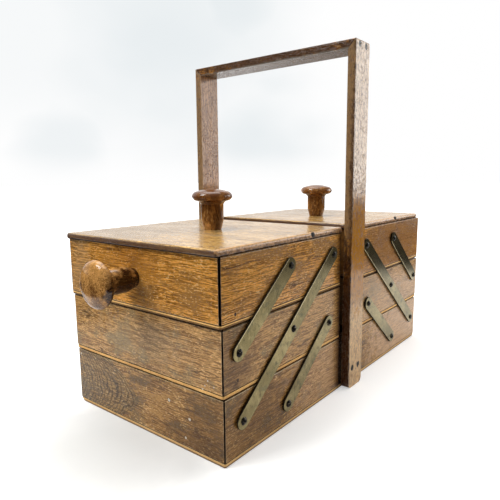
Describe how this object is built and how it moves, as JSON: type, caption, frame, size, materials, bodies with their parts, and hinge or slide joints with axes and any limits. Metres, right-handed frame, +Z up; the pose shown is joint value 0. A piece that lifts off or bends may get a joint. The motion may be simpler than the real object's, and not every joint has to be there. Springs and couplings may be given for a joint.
{
  "type": "cantilever sewing box",
  "caption": "Wooden sewing carrier with a tall fixed handle and two wings of stacked trays that swing out level on flat brass arms, under lift-off lids with turned knobs.",
  "frame": {"origin": "on the floor under the middle of the bottom box, at the centre of the overall box", "axes": "+X along the box to the right wing, +Y to the rear, +Z up; the front face, with the camera-side arms, is -Y"},
  "size_m": [0.512, 0.2228, 0.3684],
  "materials": {
    "dull_oak": "worn varnish over open grain",
    "varnished_oak": "glossy varnish over open grain",
    "lid_wood": "polished, pale",
    "handle_wood": "waxed, open pores",
    "turned_wood": "glossy shellac",
    "plywood": "bare edge",
    "aged_brass": "dull, greenish-grey tarnish",
    "dark_steel": "darkened, slotted"
  },
  "bodies": {
    "bottom_box": {"bottom_box_front": "dull_oak", "bottom_box_rear": "dull_oak", "bottom_box_left_end": "dull_oak", "bottom_box_right_end": "dull_oak", "bottom_box_base": "plywood", "bottom_box_pivot_screws": "dark_steel", "handle_front_post": "handle_wood", "handle_rear_post": "handle_wood", "handle_crossbar": "handle_wood", "handle_packings": "handle_wood", "handle_foot_screws": "dark_steel", "handle_top_screws": "dark_steel"},
    "left_middle_tray": {"left_middle_tray_front": "dull_oak", "left_middle_tray_rear": "dull_oak", "left_middle_tray_outer_end": "dull_oak", "left_middle_tray_inner_end": "dull_oak", "left_middle_tray_base": "plywood", "left_middle_tray_pivot_screws": "dark_steel"},
    "left_top_tray": {"left_top_tray_front": "varnished_oak", "left_top_tray_rear": "varnished_oak", "left_top_tray_outer_end": "varnished_oak", "left_top_tray_inner_end": "varnished_oak", "left_top_tray_base": "plywood", "left_top_tray_pivot_screws": "dark_steel", "left_end_knob": "turned_wood", "left_end_knob_screw": "dark_steel"},
    "left_lid": {"left_lid": "lid_wood", "left_lid_cleats": "plywood", "left_lid_knob": "turned_wood", "left_lid_knob_screw": "dark_steel"},
    "left_front_long_arm": {"left_front_long_arm": "aged_brass"},
    "left_front_lower_arm": {"left_front_lower_arm": "aged_brass"},
    "left_front_upper_arm": {"left_front_upper_arm": "aged_brass"},
    "left_rear_long_arm": {"left_rear_long_arm": "aged_brass"},
    "left_rear_lower_arm": {"left_rear_lower_arm": "aged_brass"},
    "left_rear_upper_arm": {"left_rear_upper_arm": "aged_brass"},
    "right_middle_tray": {"right_middle_tray_front": "dull_oak", "right_middle_tray_rear": "dull_oak", "right_middle_tray_outer_end": "dull_oak", "right_middle_tray_inner_end": "dull_oak", "right_middle_tray_base": "plywood", "right_middle_tray_pivot_screws": "dark_steel"},
    "right_top_tray": {"right_top_tray_front": "varnished_oak", "right_top_tray_rear": "varnished_oak", "right_top_tray_outer_end": "varnished_oak", "right_top_tray_inner_end": "varnished_oak", "right_top_tray_base": "plywood", "right_top_tray_pivot_screws": "dark_steel", "right_end_knob": "turned_wood", "right_end_knob_screw": "dark_steel"},
    "right_lid": {"right_lid": "lid_wood", "right_lid_cleats": "plywood", "right_lid_knob": "turned_wood", "right_lid_knob_screw": "dark_steel"},
    "right_front_long_arm": {"right_front_long_arm": "aged_brass"},
    "right_front_lower_arm": {"right_front_lower_arm": "aged_brass"},
    "right_front_upper_arm": {"right_front_upper_arm": "aged_brass"},
    "right_rear_long_arm": {"right_rear_long_arm": "aged_brass"},
    "right_rear_lower_arm": {"right_rear_lower_arm": "aged_brass"},
    "right_rear_upper_arm": {"right_rear_upper_arm": "aged_brass"}
  },
  "joints": [
    {"name": "left_wing_fold", "type": "hinge", "parent": "bottom_box", "child": "left_front_long_arm", "pos_m": [-0.1878, -0.1032, 0.0335], "axis": [0, -1, 0], "range_deg": [0, 102.01]},
    {"name": "left_middle_tray_level", "type": "hinge", "parent": "left_front_long_arm", "child": "left_middle_tray", "pos_m": [-0.1135, -0.1032, 0.09365], "axis": [0, -1, 0], "range_deg": [-102.01, 0]},
    {"name": "left_top_tray_level", "type": "hinge", "parent": "left_front_long_arm", "child": "left_top_tray", "pos_m": [-0.0392, -0.1032, 0.1538], "axis": [0, -1, 0], "range_deg": [-102.01, 0]},
    {"name": "left_rear_long_arm_swing", "type": "hinge", "parent": "bottom_box", "child": "left_rear_long_arm", "pos_m": [-0.1878, 0.1032, 0.0335], "axis": [0, -1, 0], "range_deg": [0, 102.01]},
    {"name": "left_front_lower_arm_swing", "type": "hinge", "parent": "bottom_box", "child": "left_front_lower_arm", "pos_m": [-0.1216, -0.1032, 0.0229], "axis": [0, -1, 0], "range_deg": [0, 102.01]},
    {"name": "left_front_upper_arm_swing", "type": "hinge", "parent": "left_middle_tray", "child": "left_front_upper_arm", "pos_m": [-0.1924, -0.1032, 0.09365], "axis": [0, -1, 0], "range_deg": [0, 102.01]},
    {"name": "left_rear_lower_arm_swing", "type": "hinge", "parent": "bottom_box", "child": "left_rear_lower_arm", "pos_m": [-0.1216, 0.1032, 0.0229], "axis": [0, -1, 0], "range_deg": [0, 102.01]},
    {"name": "left_rear_upper_arm_swing", "type": "hinge", "parent": "left_middle_tray", "child": "left_rear_upper_arm", "pos_m": [-0.1924, 0.1032, 0.09365], "axis": [0, -1, 0], "range_deg": [0, 102.01]},
    {"name": "left_lid_lift", "type": "slide", "parent": "left_top_tray", "child": "left_lid", "axis": [0, 0, 1], "range_m": [0, 0.21]},
    {"name": "right_wing_fold", "type": "hinge", "parent": "bottom_box", "child": "right_front_long_arm", "pos_m": [0.1878, -0.1032, 0.0335], "axis": [0, 1, 0], "range_deg": [0, 102.01]},
    {"name": "right_middle_tray_level", "type": "hinge", "parent": "right_front_long_arm", "child": "right_middle_tray", "pos_m": [0.1135, -0.1032, 0.09365], "axis": [0, 1, 0], "range_deg": [-102.01, 0]},
    {"name": "right_top_tray_level", "type": "hinge", "parent": "right_front_long_arm", "child": "right_top_tray", "pos_m": [0.0392, -0.1032, 0.1538], "axis": [0, 1, 0], "range_deg": [-102.01, 0]},
    {"name": "right_rear_long_arm_swing", "type": "hinge", "parent": "bottom_box", "child": "right_rear_long_arm", "pos_m": [0.1878, 0.1032, 0.0335], "axis": [0, 1, 0], "range_deg": [0, 102.01]},
    {"name": "right_front_lower_arm_swing", "type": "hinge", "parent": "bottom_box", "child": "right_front_lower_arm", "pos_m": [0.1216, -0.1032, 0.0229], "axis": [0, 1, 0], "range_deg": [0, 102.01]},
    {"name": "right_front_upper_arm_swing", "type": "hinge", "parent": "right_middle_tray", "child": "right_front_upper_arm", "pos_m": [0.1924, -0.1032, 0.09365], "axis": [0, 1, 0], "range_deg": [0, 102.01]},
    {"name": "right_rear_lower_arm_swing", "type": "hinge", "parent": "bottom_box", "child": "right_rear_lower_arm", "pos_m": [0.1216, 0.1032, 0.0229], "axis": [0, 1, 0], "range_deg": [0, 102.01]},
    {"name": "right_rear_upper_arm_swing", "type": "hinge", "parent": "right_middle_tray", "child": "right_rear_upper_arm", "pos_m": [0.1924, 0.1032, 0.09365], "axis": [0, 1, 0], "range_deg": [0, 102.01]},
    {"name": "right_lid_lift", "type": "slide", "parent": "right_top_tray", "child": "right_lid", "axis": [0, 0, 1], "range_m": [0, 0.21]}
  ],
  "couplings": [
    {"joint": "left_middle_tray_level", "follows": "left_wing_fold", "ratio": -1},
    {"joint": "left_top_tray_level", "follows": "left_wing_fold", "ratio": -1},
    {"joint": "left_rear_long_arm_swing", "follows": "left_wing_fold", "ratio": 1},
    {"joint": "left_front_lower_arm_swing", "follows": "left_wing_fold", "ratio": 1},
    {"joint": "left_front_upper_arm_swing", "follows": "left_wing_fold", "ratio": 1},
    {"joint": "left_rear_lower_arm_swing", "follows": "left_wing_fold", "ratio": 1},
    {"joint": "left_rear_upper_arm_swing", "follows": "left_wing_fold", "ratio": 1},
    {"joint": "right_middle_tray_level", "follows": "right_wing_fold", "ratio": -1},
    {"joint": "right_top_tray_level", "follows": "right_wing_fold", "ratio": -1},
    {"joint": "right_rear_long_arm_swing", "follows": "right_wing_fold", "ratio": 1},
    {"joint": "right_front_lower_arm_swing", "follows": "right_wing_fold", "ratio": 1},
    {"joint": "right_front_upper_arm_swing", "follows": "right_wing_fold", "ratio": 1},
    {"joint": "right_rear_lower_arm_swing", "follows": "right_wing_fold", "ratio": 1},
    {"joint": "right_rear_upper_arm_swing", "follows": "right_wing_fold", "ratio": 1}
  ]
}
